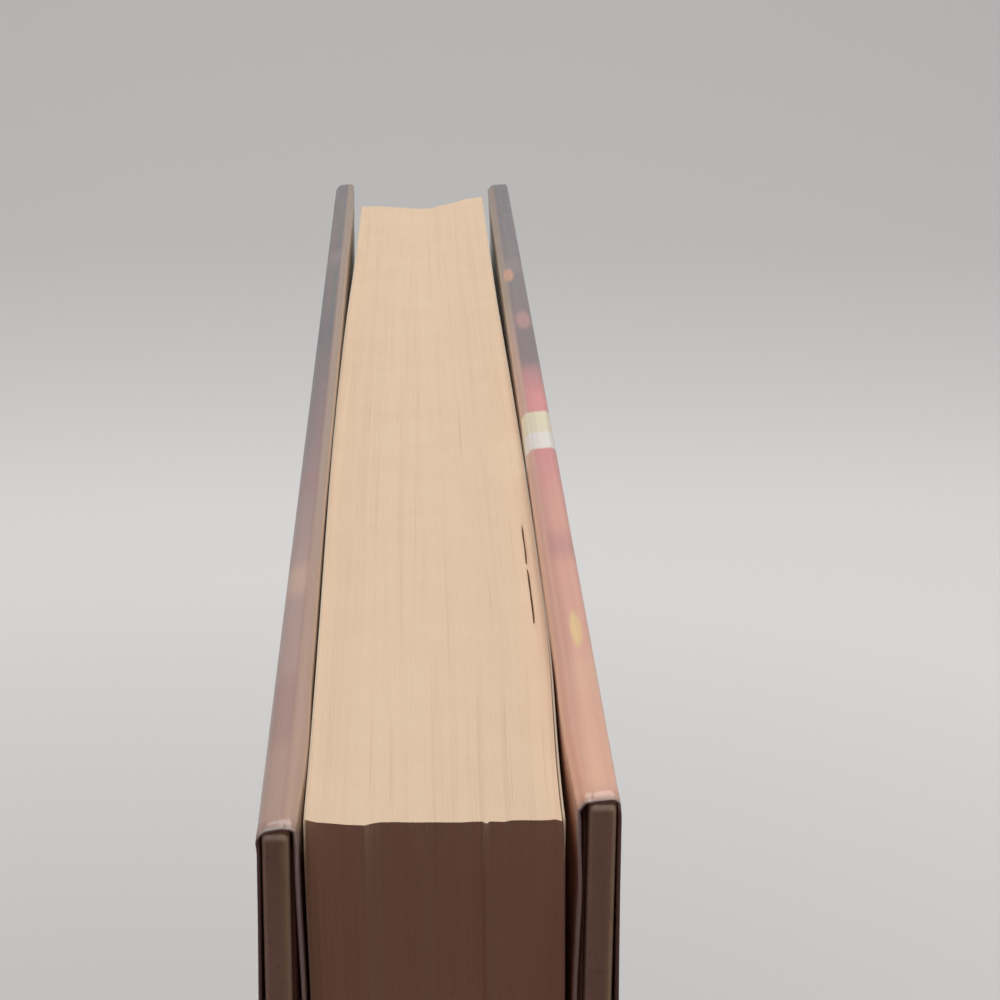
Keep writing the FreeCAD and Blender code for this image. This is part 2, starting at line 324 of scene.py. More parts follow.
# Behind the block: open cloth glued over the sewn sections, then a strip of brown kraft paper over it.
# Both are thin, hidden work, seen only from the ends through the hollow of the spine.
weave = bpy.data.node_groups.new("weave", "ShaderNodeTree")
socket(weave, "Vector", "INPUT", "Vector")
socket(weave, "Threads per metre", "INPUT", "Float")
socket(weave, "Thread", "INPUT", "Color")
socket(weave, "Hollow", "INPUT", "Color")
socket(weave, "Colour", "OUTPUT", "Color")
socket(weave, "Height", "OUTPUT", "Float")
ins = put(weave, "NodeGroupInput").outputs
parts = put(weave, "ShaderNodeSeparateXYZ", {"Vector": ins["Vector"]}).outputs
threads = []
for part in (sums(weave, "ADD", parts["X"], parts["Z"]), parts["Y"]):
    turns = sums(weave, "MULTIPLY", sums(weave, "MULTIPLY", part, ins["Threads per metre"]), math.tau)
    wave = put(weave, "ShaderNodeMath", {0: turns}, operation="COSINE").outputs[0]
    threads.append(between(weave, wave, -1.0, 1.0))
crown = sums(weave, "MAXIMUM", threads[0], threads[1])
slub = mottle(weave, ins["Vector"], 900.0, 2.0)
shown = sums(weave, "MULTIPLY", between(weave, crown, 0.35, 0.85), between(weave, slub, 0.2, 0.6, 0.6, 1.0))
outs = put(weave, "NodeGroupOutput")
weave.links.new(blend_colour(weave, shown, ins["Hollow"], ins["Thread"]), outs.inputs["Colour"])
weave.links.new(crown, outs.inputs["Height"])


def woven(tree, vector, count, thread, hollow):
    """A plain weave in a material's own colours, as its colour and its height."""
    node = put(tree, "ShaderNodeGroup", node_tree=weave)
    tree.links.new(vector, node.inputs["Vector"])
    node.inputs["Threads per metre"].default_value = count
    node.inputs["Thread"].default_value = (*thread, 1.0)
    node.inputs["Hollow"].default_value = (*hollow, 1.0)
    return node.outputs["Colour"], node.outputs["Height"]


def dress(material, *nodes):
    """Gives carried-over nodes of the frame their material."""
    for name in nodes:
        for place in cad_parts[name].material_slots:
            place.material = material


open_cloth, tree, shader = new_material("open_cloth")
here = put(tree, "ShaderNodeTexCoord").outputs["Object"]
colour, height = woven(tree, here, 1100.0, (0.78, 0.75, 0.68), (0.36, 0.28, 0.19))
tree.links.new(colour, shader.inputs["Base Color"])
shader.inputs["Roughness"].default_value = 0.9
rough_up(tree, shader, height, 0.0001)
dress(open_cloth, "spine_mull")

kraft, tree, shader = new_material("kraft_lining")
here = put(tree, "ShaderNodeTexCoord").outputs["Object"]
colour, height = fibre(tree, here, (0.42, 0.27, 0.15), (0.27, 0.16, 0.08), 0.5)
tree.links.new(colour, shader.inputs["Base Color"])
shader.inputs["Roughness"].default_value = 0.8
rough_up(tree, shader, height, 0.00003)
dress(kraft, "spine_lining")


# The bands at the head and the tail: a cord wound with two colours of thread on a strip of cloth that
# is glued under the ends of the pages. The beads close the hollow behind the spine corners.
bead_radius = 0.0009
bead_half = half_at_spine - endpaper
bead_height = 0.00265
thread_radius = 0.00017
thread_pitch = 0.00034
core_radius = bead_radius - thread_radius
tab_length = 0.010
tab_thick = 0.0002

threads_made = []
for name, tint, shade in (
    ("band_thread_dark", (0.16, 0.055, 0.06), (0.09, 0.03, 0.035)),
    ("band_thread_pale", (0.74, 0.66, 0.50), (0.55, 0.46, 0.32)),
):
    thread, tree, shader = new_material(name)
    here = put(tree, "ShaderNodeTexCoord").outputs["Object"]
    strands = mottle(tree, stretch(tree, here, (9000.0, 2600.0, 2600.0)), 1.0, 2.0)
    colour = blend_colour(tree, between(tree, strands, 0.35, 0.65), tint, shade)
    tree.links.new(colour, shader.inputs["Base Color"])
    shader.inputs["Roughness"].default_value = 0.5
    shader.inputs["Sheen Weight"].default_value = 0.3
    rough_up(tree, shader, strands, 0.00003)
    threads_made.append(thread)

for end, name in ((1, "headband"), (-1, "tailband")):
    bm = bmesh.new()
    bead = Matrix.Translation((0.0, end * (page_height / 2 + bead_radius), bead_height))
    across = Matrix.Rotation(math.pi / 2, 4, "Y")
    bmesh.ops.create_cone(
        bm, cap_ends=True, segments=12, radius1=core_radius, radius2=core_radius, depth=2 * bead_half,
        matrix=bead @ across,
    )
    windings = int(2 * (bead_half - thread_radius) / thread_pitch)
    for turn in range(windings + 1):
        x = -bead_half + thread_radius + turn * thread_pitch
        rise = Vector((0.0, 0.0, core_radius))
        ring = bmesh.ops.create_circle(bm, segments=6, radius=thread_radius)["verts"]
        bmesh.ops.rotate(bm, verts=ring, cent=(0, 0, 0), matrix=Matrix.Rotation(math.pi / 2, 3, "X"))
        bmesh.ops.translate(bm, verts=ring, vec=rise)
        rims = list({e for v in ring for e in v.link_edges})
        before = set(bm.faces)
        bmesh.ops.spin(
            bm, geom=ring + rims, cent=(0, 0, 0), axis=(1, 0, 0), angle=math.tau, steps=14, use_merge=True,
        )
        wound = [f for f in bm.faces if f not in before]
        stripe = 0 if turn % 4 < 2 else 1
        for face in wound:
            face.material_index = stripe
        loop = list({v for f in wound for v in f.verts})
        slant = Matrix.Rotation(math.radians(8 * end), 4, "Z")
        bmesh.ops.transform(bm, matrix=bead @ Matrix.Translation((x, 0, 0)) @ slant, verts=loop)
    tab = bmesh.ops.create_cube(bm, size=1.0)["verts"]
    length = tab_length + bead_radius
    bmesh.ops.scale(bm, vec=(2 * bead_half, length, tab_thick), verts=tab)
    middle = page_height / 2 + bead_radius - length / 2
    bmesh.ops.translate(bm, verts=tab, vec=(0, end * middle, block_foot - tab_thick / 2))
    for face in {f for v in tab for f in v.link_faces}:
        face.material_index = 2
    bmesh.ops.recalc_face_normals(bm, faces=bm.faces[:])
    for face in bm.faces:
        face.smooth = face.material_index < 2
    band = new_piece(bm, name + "_wound", [*threads_made, open_cloth])
    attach(band, "block")
    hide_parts(name)


# The boards: two plates of grey pulp board, and the strip of thinner card that stiffens the spine.
# The covering hides them, apart from their cut edges inside the joints.
greyboard, tree, shader = new_material("greyboard")
here = put(tree, "ShaderNodeTexCoord").outputs["Object"]
colour, height = fibre(tree, here, (0.31, 0.29, 0.25), (0.17, 0.155, 0.135), 0.6)
tree.links.new(colour, shader.inputs["Base Color"])
shader.inputs["Roughness"].default_value = 0.92
rough_up(tree, shader, height, 0.00008)
dress(greyboard, "front_board", "back_board", "spine_stiffener")


# The case covering: khaki paper with a fine pebbled grain, glued on the boards and turned in over their
# edges. At both ends a patchy pale yellow line along the board edges is a painted highlight. It bends in two
# joints between the boards and the spine.
board_foot = 0.0086
case_half = 0.1175
skew_turn = math.asin(0.0021 / 0.235)
skew_drop = 0.00105
skew_middle = 0.082775
board_outside = 0.013975
cover_paper = 0.0002
khaki = (0.68, 0.56, 0.43)


def sheet_start(x, height, stations, run=0.0):
    """One edge of a sheet, lying along the spine with a vertex at each station."""
    bm = bmesh.new()
    length = bm.verts.layers.float.new("run")
    row = [bm.verts.new((x, y, height)) for y in stations]
    for vert in row:
        vert[length] = run
    for first, second in zip(row, row[1:]):
        bm.edges.new((first, second))
    return bm, row


def draw_out(bm, row, move, length):
    """Extrudes the open edge of a sheet once, moves it, and keeps its length from the spine."""
    run = bm.verts.layers.float["run"]
    open_edge = set(row)
    edges = [e for e in bm.edges if e.verts[0] in open_edge and e.verts[1] in open_edge]
    made = bmesh.ops.extrude_edge_only(bm, edges=edges)["geom"]
    new_row = sorted((v for v in made if isinstance(v, bmesh.types.BMVert)), key=lambda v: v.co.y)
    move(new_row)
    for vert in new_row:
        vert[run] += length
    return new_row


def run_to(bm, row, x, height, steps=1):
    """Draws a sheet out in a straight line to a new place in its section."""
    way = Vector((x - row[0].co.x, 0.0, height - row[0].co.z))
    for _ in range(steps):
        row = draw_out(
            bm, row, lambda verts: bmesh.ops.translate(bm, verts=verts, vec=way / steps), way.length / steps
        )
    return row


def sway_to(bm, row, x, height, steps):
    """Draws a sheet out in a soft S that leaves and arrives going straight up or down."""
    x0, z0 = row[0].co.x, row[0].co.z
    for step in range(1, steps + 1):
        share = step / steps
        row = run_to(bm, row, x0 + (x - x0) * ease(share, 0.0, 1.0), z0 + (height - z0) * share)
    return row


def fold(bm, row, x, height, degrees, steps):
    """Rolls a sheet round a line that runs along the spine at (x, height)."""
    centre = Vector((x, 0.0, height))
    arm = math.hypot(row[0].co.x - x, row[0].co.z - height)
    turn = Matrix.Rotation(math.radians(-degrees / steps), 3, "Y")
    for _ in range(steps):
        row = draw_out(
            bm, row, lambda verts: bmesh.ops.rotate(bm, verts=verts, cent=centre, matrix=turn),
            arm * math.radians(abs(degrees)) / steps,
        )
    return row


def finish_sheet(bm, name, side, outward, thickness, materials):
    """Maps a sheet in metres, brings it to its cover's side and gives it its thickness."""
    run = bm.verts.layers.float["run"]
    sheet_map = bm.loops.layers.uv.new("sheet")
    for face in bm.faces:
        face.smooth = True
        for loop in face.loops:
            loop[sheet_map].uv = (side * loop.vert[run], loop.vert.co.y)
    if side < 0:
        for vert in bm.verts:
            vert.co = on_front(vert.co)
    bmesh.ops.recalc_face_normals(bm, faces=bm.faces[:])
    outermost = max(bm.faces, key=lambda f: abs(f.calc_center_median().x))
    if (outermost.normal.dot(Vector((side, 0.0, -0.5))) > 0) != outward:
        bmesh.ops.reverse_faces(bm, faces=bm.faces[:])
    piece = new_piece(bm, name, materials)
    wall = piece.modifiers.new("thickness", "SOLIDIFY")
    wall.thickness = thickness
    wall.offset = 0.0
    wall.use_even_offset = True
    wall.material_offset = len(materials) - 1
    wall.material_offset_rim = len(materials) - 1
    return piece


def on_front(point):
    """A point of the back cover's side brought to the front, whose case was glued a little askew."""
    x, y, z = point
    share = min(max(z / board_foot, 0.0), 1.0)
    rise = z - skew_middle
    turned_y = y * math.cos(skew_turn) - rise * math.sin(skew_turn)
    turned_z = skew_middle + y * math.sin(skew_turn) + rise * math.cos(skew_turn) - skew_drop
    return Vector((-x, y + (turned_y - y) * share, z + (turned_z - z) * share))


def stations(half, steps):
    """Even stations along the spine, from the tail to the head."""
    return [-half + 2 * half * step / steps for step in range(steps + 1)]


def hinge(piece, cover):
    """Lets a sheet bend between the block and a cover, over the joint beside the spine."""
    side, top = (-1, 0.0062) if cover == "front_cover" else (1, 0.0083)
    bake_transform(piece, "block", cover, start=(side * 0.0122, 0, 0.0003), end=(side * 0.0122, 0, top))


case_paper, tree, shader = new_material("case_paper")
here = put(tree, "ShaderNodeTexCoord").outputs["Object"]
colour, felt_height = fibre(tree, here, khaki, (0.42, 0.335, 0.245), 0.35)
pebble = mottle(tree, here, 1900.0, 2.0, 0.5)
highlight_patches = mottle(tree, here, 260.0, 4.0, 0.6)
split = put(tree, "ShaderNodeSeparateXYZ", {"Vector": here}).outputs
ends_out = put(tree, "ShaderNodeMath", {0: split["Y"]}, operation="ABSOLUTE").outputs[0]
# Painted highlight: a patchy pale yellow line along the outer edge of the back board and the inner edge of
# the front board, near both ends.
front_edge = between(tree, split["X"], -0.0128, -0.0123)
front_edge = sums(tree, "MULTIPLY", front_edge, between(tree, split["X"], -0.0119, -0.0121))
edge_line = sums(tree, "MAXIMUM", between(tree, split["X"], 0.01335, 0.01375), front_edge)
near_end = between(tree, ends_out, 0.1160, 0.1168)
edge_highlight = sums(tree, "MULTIPLY", sums(tree, "MULTIPLY", edge_line, near_end), between(tree, highlight_patches, 0.3, 0.55))
colour = blend_colour(tree, sums(tree, "MULTIPLY", edge_highlight, 0.75), colour, (0.85, 0.72, 0.44))
tree.links.new(colour, shader.inputs["Base Color"])
shader.inputs["Roughness"].default_value = 0.6
rough_up(tree, shader, sums(tree, "ADD", pebble, felt_height), 0.00003, 0.6)
dress(case_paper, "front_case_cover", "back_case_cover", "case_spine")

for side, cover in ((-1, "front"), (1, "back")):
    bm, row = sheet_start(0.0118, 0.0003, stations(case_half, 48))
    row = run_to(bm, row, 0.0120, 0.0003)
    row = fold(bm, row, 0.0120, 0.0008, 90, 5)
    row = sway_to(bm, row, 0.0123, 0.0039, 8)
    row = sway_to(bm, row, board_outside, board_foot, 12)
    joint = finish_sheet(bm, cover + "_case_hinge", side, True, cover_paper, [case_paper])
    hinge(joint, cover + "_cover")
    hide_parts(cover + "_case_joint")


# The cloth in each joint: the same open cloth as on the spine, whose free edge is glued down on the
# inside of the board under the endpaper. It is what holds the block in its case.
mull_half = 0.1005
mull_thick = 0.0002
mull_on_board = 0.011975

for side, cover in ((-1, "front"), (1, "back")):
    bm, row = sheet_start(0.01175, 0.00175, stations(mull_half, 24))
    row = sway_to(bm, row, mull_on_board, board_foot, 10)
    row = run_to(bm, row, mull_on_board, board_foot + 0.025, 4)
    mull = finish_sheet(bm, cover + "_mull", side, True, mull_thick, [open_cloth])
    hinge(mull, cover + "_cover")
    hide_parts(cover + "_mull_joint", cover + "_mull_flange")


# The endpapers: a folded sheet of plain ivory paper at each side. One half is pasted down inside the
# board, where it steps over the turn-ins and the cloth. The other is the first loose leaf.
ivory = (0.74, 0.66, 0.53)
paste_low = board_foot + 0.025
paste_high = 0.15695 - 0.015
paste_half = 0.1025
paste_inside = 0.0118
step_width = 0.00035
step_depth = 0.0002

end_paper, tree, shader = new_material("end_paper")
sheet_map = put(tree, "ShaderNodeUVMap", uv_map="sheet").outputs["UV"]
colour, height = fibre(tree, sheet_map, ivory, (0.60, 0.49, 0.34), 0.28)
along = put(tree, "ShaderNodeSeparateXYZ", {"Vector": sheet_map}).outputs["Y"]
to_edge = put(tree, "ShaderNodeMath", {0: along}, operation="ABSOLUTE").outputs[0]
# The sheet is darker and browner towards both ends.
wander = between(tree, mottle(tree, sheet_map, 60.0, 3.0), 0.3, 0.7, -0.004, 0.004)
darker_at_ends = between(tree, sums(tree, "ADD", to_edge, wander), 0.098, 0.116, 0.0, 0.45)
tree.links.new(blend_colour(tree, darker_at_ends, colour, (0.58, 0.43, 0.27)), shader.inputs["Base Color"])
shader.inputs["Roughness"].default_value = 0.8
rough_up(tree, shader, height, 0.00002, 0.7)

for side, cover in ((-1, "front"), (1, "back")):
    marks = stations(page_height / 2, 40)
    marks += [end * (paste_half + move) for end in (-1, 1) for move in (-step_width, step_width)]
    bm, row = sheet_start(0.011475, block_foot, sorted(marks))
    row = sway_to(bm, row, paste_inside, board_foot, 12)
    for height in (paste_low - step_width, paste_low + step_width):
        row = run_to(bm, row, paste_inside, height, 2)
    row = run_to(bm, row, paste_inside, paste_high - step_width, 12)
    row = run_to(bm, row, paste_inside, paste_high + step_width)
    row = run_to(bm, row, paste_inside, fore_edge, 3)
    for vert in bm.verts:
        sunk_up = ease(vert.co.z, paste_low - step_width, paste_low + step_width)
        sunk_up *= 1 - ease(vert.co.z, paste_high - step_width, paste_high + step_width)
        sunk = sunk_up * (1 - ease(abs(vert.co.y), paste_half - step_width, paste_half + step_width))
        vert.co.x += step_depth * sunk
    pastedown = finish_sheet(bm, cover + "_pastedown_sheet", side, False, endpaper, [end_paper])
    hinge(pastedown, cover + "_cover")
    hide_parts(cover + "_pastedown", cover + "_endpaper_joint")

    bm, row = sheet_start(side * half_at_spine, block_foot, stations(page_height / 2, 140))
    row = run_to(bm, row, side * half_at_spine, fore_edge, 36)
    for vert in bm.verts:
        sideways, upwards = spread(side, vert.co.y, vert.co.z)
        free = ease(vert.co.z, 0.11, 0.14)
        if side > 0:
            sideways += 0.00013 * ease(-vert.co.y, 0.06, 0.112) * free
        vert.co.x = block_side(side, vert.co.z) - side * endpaper / 2 + sideways
        vert.co.z += upwards
    run = bm.verts.layers.float["run"]
    sheet_layer = bm.loops.layers.uv.new("sheet")
    for face in bm.faces:
        face.smooth = True
        for loop in face.loops:
            loop[sheet_layer].uv = (loop.vert[run], loop.vert.co.y)
    bmesh.ops.recalc_face_normals(bm, faces=bm.faces[:])
    bm.faces.ensure_lookup_table()
    if bm.faces[0].normal.x * side < 0:
        bmesh.ops.reverse_faces(bm, faces=bm.faces[:])
    flyleaf = new_piece(bm, cover + "_loose_leaf", [end_paper])
    wall = flyleaf.modifiers.new("thickness", "SOLIDIFY")
    wall.thickness = endpaper
    wall.offset = 0.0
    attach(flyleaf, "block")
    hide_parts(cover + "_flyleaf")


# The jacket: one sheet of coated paper, printed and varnished on the outside and plain white inside,
# wrapped round the case and folded in over both fore edges. It is rubbed white at the folds and ends.
jacket_half = 0.1173
jacket_paper = 0.0002
spine_corner = 0.0118
spine_level = 0.0001
panel_outside = 0.014375
flap_inside = 0.011575
flap_end = 0.07225
panel_bow = 0.001
fold_outer = 0.1690
fold_inner = 0.1717
fold_shift = 0.0004
slate = (0.138, 0.134, 0.149)
mauve = (0.250, 0.176, 0.188)
rose = (0.74, 0.26, 0.26)
peach = (0.86, 0.48, 0.33)
taupe = (0.46, 0.295, 0.24)
butter = (0.88, 0.82, 0.58)
chalk = (0.92, 0.88, 0.84)

jacket_print, tree, shader = new_material("jacket_print")
sheet_map = put(tree, "ShaderNodeUVMap", uv_map="sheet").outputs["UV"]
flat = put(tree, "ShaderNodeSeparateXYZ", {"Vector": sheet_map}).outputs
drift = between(tree, mottle(tree, sheet_map, 22.0, 3.0, 0.55), 0.3, 0.7, -0.010, 0.010)
level = sums(tree, "ADD", flat["Y"], drift)
share = between(tree, level, -jacket_half, jacket_half)


def fade(places):
    """Colours that run into each other from the tail to the head."""
    ramp = put(tree, "ShaderNodeValToRGB", {"Fac": share})
    ramp.color_ramp.interpolation = "EASE"
    stops = ramp.color_ramp.elements
    while len(stops) < len(places):
        stops.new(0.5)
    for stop, (place, colour) in zip(stops, places):
        stop.position = place
        stop.color = (*colour, 1.0)
    return ramp.outputs["Color"]


def disc(centre, radius, longer=1.0):
    """A round spot of the print, or an oval one that is longer along the spine."""
    squeezed = stretch(tree, sheet_map, (1.0, 1.0 / longer, 1.0))
    middle = (centre[0], centre[1] / longer, 0.0)
    way = put(tree, "ShaderNodeVectorMath", {0: squeezed, 1: middle}, operation="DISTANCE")
    soft = 0.0006 if longer == 1.0 else 0.3 * radius
    return between(tree, way.outputs["Value"], radius + soft, radius - soft)


def band(value, low, high, soft=0.0004):
    """A stripe of the print, between two places."""
    rise = between(tree, value, low - soft, low + soft)
    return sums(tree, "MULTIPLY", rise, between(tree, value, high + soft, high - soft))


front_fade = fade([(0.03, taupe), (0.24, (0.44, 0.29, 0.26)), (0.45, mauve), (0.62, slate), (1.0, slate)])
back_fade = fade([
    (0.0, peach), (0.22, (0.80, 0.40, 0.31)), (0.40, rose), (0.48, (0.82, 0.29, 0.29)), (0.555, mauve),
    (0.74, (0.20, 0.165, 0.18)), (1.0, slate),
])
printed = blend_colour(tree, between(tree, flat["X"], -0.006, 0.006), front_fade, back_fade)
rolling = mottle(tree, stretch(tree, sheet_map, (9.0, 2.0, 1.0)), 1.0, 2.0)
hills = sums(tree, "ADD", flat["Y"], between(tree, rolling, 0.25, 0.75, -0.02, 0.02))
for low, high, tint, strength in (
    (-0.112, -0.098, (0.30, 0.14, 0.13), 0.3), (-0.078, -0.070, (0.86, 0.56, 0.36), 0.3),
    (-0.046, -0.040, (0.36, 0.14, 0.17), 0.35), (0.018, 0.034, (0.12, 0.11, 0.14), 0.35),
    (0.062, 0.070, (0.42, 0.30, 0.31), 0.3),
):
    stripe = sums(tree, "MULTIPLY", band(hills, low, high, 0.002), strength)
    printed = blend_colour(tree, stripe, printed, tint)
for centre, radius, longer, tint, strength in (
    ((-0.098, 0.030), 0.038, 1.0, (0.72, 0.40, 0.28), 0.85),
    ((-0.098, 0.030), 0.027, 1.0, (0.80, 0.62, 0.42), 0.8),
    ((0.100, 0.052), 0.018, 1.0, (0.55, 0.36, 0.34), 0.8),
    ((0.070, -0.070), 0.012, 1.0, (0.80, 0.52, 0.20), 0.8),
    ((0.1708, 0.0290), 0.00095, 4.6, (0.54, 0.28, 0.25), 0.75),
    ((0.1708, -0.0815), 0.00052, 8.0, (0.90, 0.66, 0.27), 0.85),
    ((0.0, 0.086), 0.0055, 1.0, (0.72, 0.45, 0.32), 0.9),
    ((0.0, -0.095), 0.0055, 1.0, (0.80, 0.62, 0.42), 0.9),
):
    spot = sums(tree, "MULTIPLY", disc(centre, radius, longer), strength)
    printed = blend_colour(tree, spot, printed, tint)
spine_bar = sums(tree, "MULTIPLY", band(flat["Y"], -0.060, 0.060), band(flat["X"], -0.0016, 0.0016))
printed = blend_colour(tree, sums(tree, "MULTIPLY", spine_bar, 0.8), printed, (0.76, 0.56, 0.42))
outward = sums(tree, "SUBTRACT", flat["X"], fold_shift)
outward = put(tree, "ShaderNodeMath", {0: outward}, operation="ABSOLUTE").outputs[0]
on_flap = between(tree, outward, fold_inner - 0.0002, fold_inner + 0.0002)
front_flap = fade([(0.0, (0.52, 0.33, 0.24)), (0.5, (0.40, 0.29, 0.22)), (1.0, (0.33, 0.25, 0.19))])
back_flap = fade([
    (0.0, (0.86, 0.42, 0.28)), (0.40, (0.80, 0.43, 0.33)), (0.52, (0.62, 0.38, 0.30)),
    (0.70, (0.33, 0.26, 0.20)), (1.0, (0.28, 0.22, 0.18)),
])
flap_colour = blend_colour(tree, between(tree, flat["X"], -0.006, 0.006), front_flap, back_flap)
clouded = between(tree, mottle(tree, sheet_map, 30.0, 2.0), 0.3, 0.7, 0.0, 0.25)
flap_colour = blend_colour(tree, clouded, flap_colour, taupe)
printed = blend_colour(tree, on_flap, printed, flap_colour)
spot = sums(tree, "MULTIPLY", disc((0.1718, 0.0545), 0.00072, 5.0), 0.75)
printed = blend_colour(tree, spot, printed, (0.80, 0.38, 0.23))
# Painted shade: near the tail, the flap past the fold is painted bluish grey, its pale paper as it looks in
# shade.
flap_tail_shade = between(tree, flat["Y"], -jacket_half + 0.0045, -jacket_half + 0.001, 0.0, 0.75)
past_fold = between(tree, outward, fold_inner + 0.0010, fold_inner + 0.0025)
flap_tail_shade = sums(tree, "MULTIPLY", flap_tail_shade, past_fold)
printed = blend_colour(tree, flap_tail_shade, printed, (0.50, 0.50, 0.55))
pale = sums(tree, "MULTIPLY", band(flat["Y"], -0.0270, -0.0130), band(flat["X"], 0.130, 0.212))
printed = blend_colour(tree, pale, printed, butter)
pale = sums(tree, "MULTIPLY", band(flat["Y"], -0.0270, -0.0210), band(flat["X"], 0.130, 0.212))
printed = blend_colour(tree, pale, printed, chalk)

grain = mottle(tree, sheet_map, 5200.0, 2.0, 0.6)
printed = blend_colour(tree, between(tree, grain, 0.35, 0.75, 0.0, 0.10), printed, (0.75, 0.70, 0.66))
scuffing = mottle(tree, stretch(tree, sheet_map, (1.0, 0.35, 1.0)), 900.0, 4.0, 0.65)
streaks = mottle(tree, stretch(tree, sheet_map, (1100.0, 9.0, 1.0)), 1.0, 2.0, 0.5)
along_fold = band(outward, fold_outer - 0.0010, fold_outer + 0.0006, 0.0008)
# Painted shade: a thin dark line along the inner crease of the fold.
crease_shade = band(outward, fold_inner - 0.0002, fold_inner, 0.00015)
to_edge = put(tree, "ShaderNodeMath", {0: flat["Y"]}, operation="ABSOLUTE").outputs[0]
cut_edge = between(tree, to_edge, jacket_half - 0.0014, jacket_half - 0.0001)
on_fold = band(outward, fold_outer - 0.0010, fold_outer + 0.0012, 0.0008)
chafed = between(tree, sums(tree, "ADD", scuffing, sums(tree, "MULTIPLY", cut_edge, 0.18)), 0.66, 0.78)
end_wear = sums(tree, "MULTIPLY", sums(tree, "MULTIPLY", cut_edge, on_fold), chafed)
fold_wear = sums(tree, "MULTIPLY", along_fold, between(tree, scuffing, 0.56, 0.70, 0.0, 0.35))
rim_wear = sums(tree, "MULTIPLY", between(tree, to_edge, jacket_half - 0.0006, jacket_half - 0.0001),
                between(tree, scuffing, 0.4, 0.6, 0.1, 0.8))
worn = sums(tree, "MAXIMUM", sums(tree, "MAXIMUM", end_wear, fold_wear), rim_wear)
streaked = between(tree, streaks, 0.42, 0.68, 0.0, 0.25)
streaked = sums(tree, "MULTIPLY", streaked, between(tree, outward, 0.160, 0.168))
printed = blend_colour(tree, streaked, printed, (0.40, 0.19, 0.16))
printed = blend_colour(tree, sums(tree, "MULTIPLY", crease_shade, 0.28), printed, (0.24, 0.10, 0.07))
printed = blend_colour(tree, sums(tree, "MULTIPLY", worn, 0.85), printed, (0.80, 0.78, 0.74))
tree.links.new(printed, shader.inputs["Base Color"])
smears = mottle(tree, stretch(tree, sheet_map, (1.0, 0.2, 1.0)), 300.0, 3.0, 0.6)
dull = sums(tree, "ADD", between(tree, smears, 0.3, 0.7, 0.30, 0.42), sums(tree, "MULTIPLY", worn, 0.3))
tree.links.new(dull, shader.inputs["Roughness"])
tree.links.new(between(tree, worn, 0.0, 1.0, 0.45, 0.05), shader.inputs["Coat Weight"])
shader.inputs["Coat Roughness"].default_value = 0.22
creased = sums(tree, "ADD", sums(tree, "MULTIPLY", grain, 0.3), sums(tree, "MULTIPLY", worn, 0.8))
ripples = mottle(tree, stretch(tree, sheet_map, (1.0, 0.5, 1.0)), 120.0, 2.0, 0.5)
rough_up(tree, shader, sums(tree, "ADD", creased, sums(tree, "MULTIPLY", ripples, 1.5)), 0.00004, 0.6)

jacket_white, tree, shader = new_material("jacket_inside")
sheet_map = put(tree, "ShaderNodeUVMap", uv_map="sheet").outputs["UV"]
colour, height = fibre(tree, sheet_map, (0.76, 0.74, 0.70), (0.62, 0.58, 0.50), 0.25)
flat = put(tree, "ShaderNodeSeparateXYZ", {"Vector": sheet_map}).outputs
outward = put(tree, "ShaderNodeMath", {0: flat["X"]}, operation="ABSOLUTE").outputs[0]
to_edge = put(tree, "ShaderNodeMath", {0: flat["Y"]}, operation="ABSOLUTE").outputs[0]
# Painted shade: along the cut ends the inside is darkened to a dark warm brown, most on the panel side of
# the outer fold.
rim_shade = between(tree, outward, fold_outer + 0.0003, fold_outer - 0.0003, 0.15, 1.0)
at_cut = between(tree, to_edge, jacket_half - 0.0008, jacket_half, 0.0, 0.75)
rim_shade = sums(tree, "MULTIPLY", rim_shade, at_cut)
colour = blend_colour(tree, rim_shade, colour, (0.26, 0.16, 0.15))
tree.links.new(colour, shader.inputs["Base Color"])
shader.inputs["Roughness"].default_value = 0.75
rough_up(tree, shader, height, 0.00002)


def climb(bm, row):
    """The loose run of the jacket from the spine corner, over the joint and up the bowed panel."""
    row = run_to(bm, row, 0.0120, spine_level)
    row = fold(bm, row, 0.0120, 0.0009, 90, 6)
    row = sway_to(bm, row, 0.0126, 0.0032, 6)
    row = sway_to(bm, row, panel_outside, board_foot, 14)
    return row


def bow(bm, low, high):
    """Lets the outer panel stand off its board, most a little above the middle, and ripple a little."""
    for vert in bm.verts:
        if vert.co.x > 0.0135 and low < vert.co.z < high:
            fullest = low + 0.55 * (high - low)
            rise = ease(vert.co.z, low, fullest) * (1 - ease(vert.co.z, fullest, high))
            vert.co.x += panel_bow * rise
            loose = ease(vert.co.z, low, low + 0.01) * (1 - ease(vert.co.z, high - 0.01, high))
            vert.co.x += loose * ripple(Vector((vert.co.z * 18, vert.co.y * 24, 2.0)), 1.0, 0.00018)


def spring(bm, at_fold, below, start):
    """Lets the flap lean in towards the pages near the tail, where nothing holds it against the board."""
    for vert in bm.verts:
        x, y, z = vert.co
        if x < 0.0121 and z > 0.105:
            inner = ease(0.0121 - x, 0.0, 0.0006)
            upper = at_fold * (ease(-y, start, 0.09) - 0.4 * ease(-y, 0.104, 0.1173))
            upper += 0.0002 * swell(-y, 0.100, 0.016)
            lower = below * ease(-y, 0.045, 0.112)
            lean_in = upper + (lower - upper) * ease(0.1555 - z, 0.0, 0.0175)
            vert.co.x -= inner * lean_in * ease(z, 0.108, 0.134)


jacket_stations = stations(jacket_half, 116)

